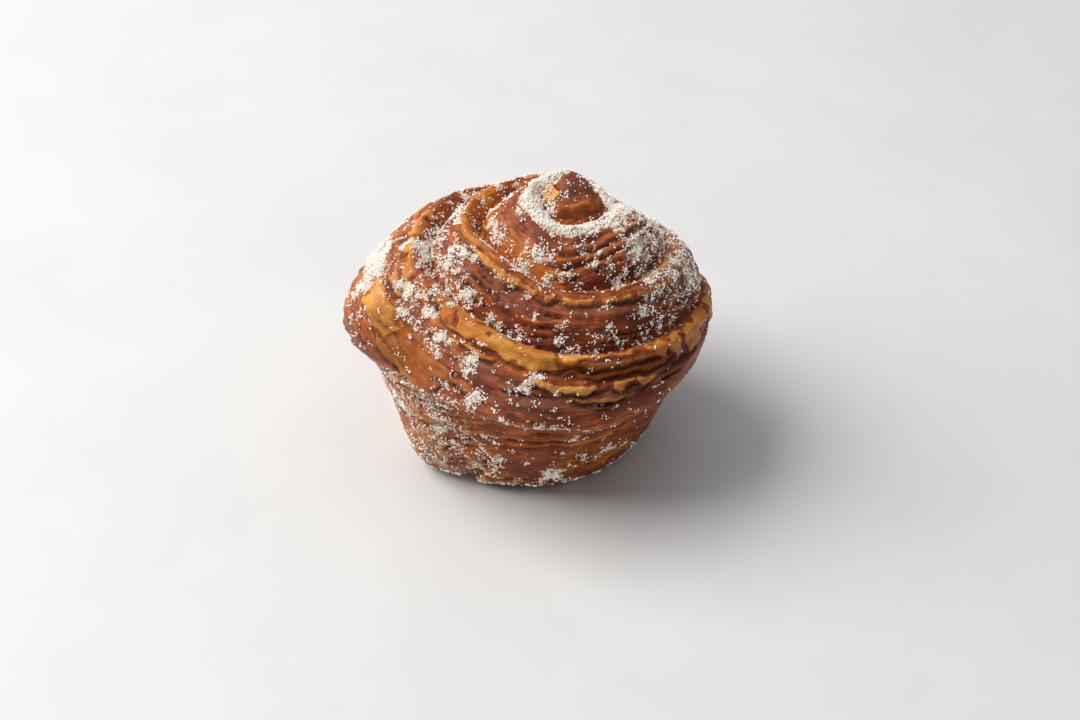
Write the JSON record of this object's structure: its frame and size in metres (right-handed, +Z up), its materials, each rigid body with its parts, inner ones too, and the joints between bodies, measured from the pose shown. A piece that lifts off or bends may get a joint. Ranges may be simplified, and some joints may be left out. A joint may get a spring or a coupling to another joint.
{
  "type": "morning bun",
  "caption": "Morning bun: laminated dough coiled into a spiral dome over a cup-baked tapered foot, with an overhanging lip, a beak at one side and coarse sugar.",
  "frame": {"origin": "centre of the bounding box in plan, on the flat foot that the bun rests on", "axes": "+Z up out of the foot through the dome, +X to the right along the longest side, away from the beak, and -Y to the front, where the outer end of the coil shows in the foot"},
  "size_m": [0.092, 0.0852, 0.0685],
  "materials": {
    "crust": "satin",
    "sugar": "satin"
  },
  "bodies": {
    "root": {"bun": "crust"}
  },
  "joints": []
}
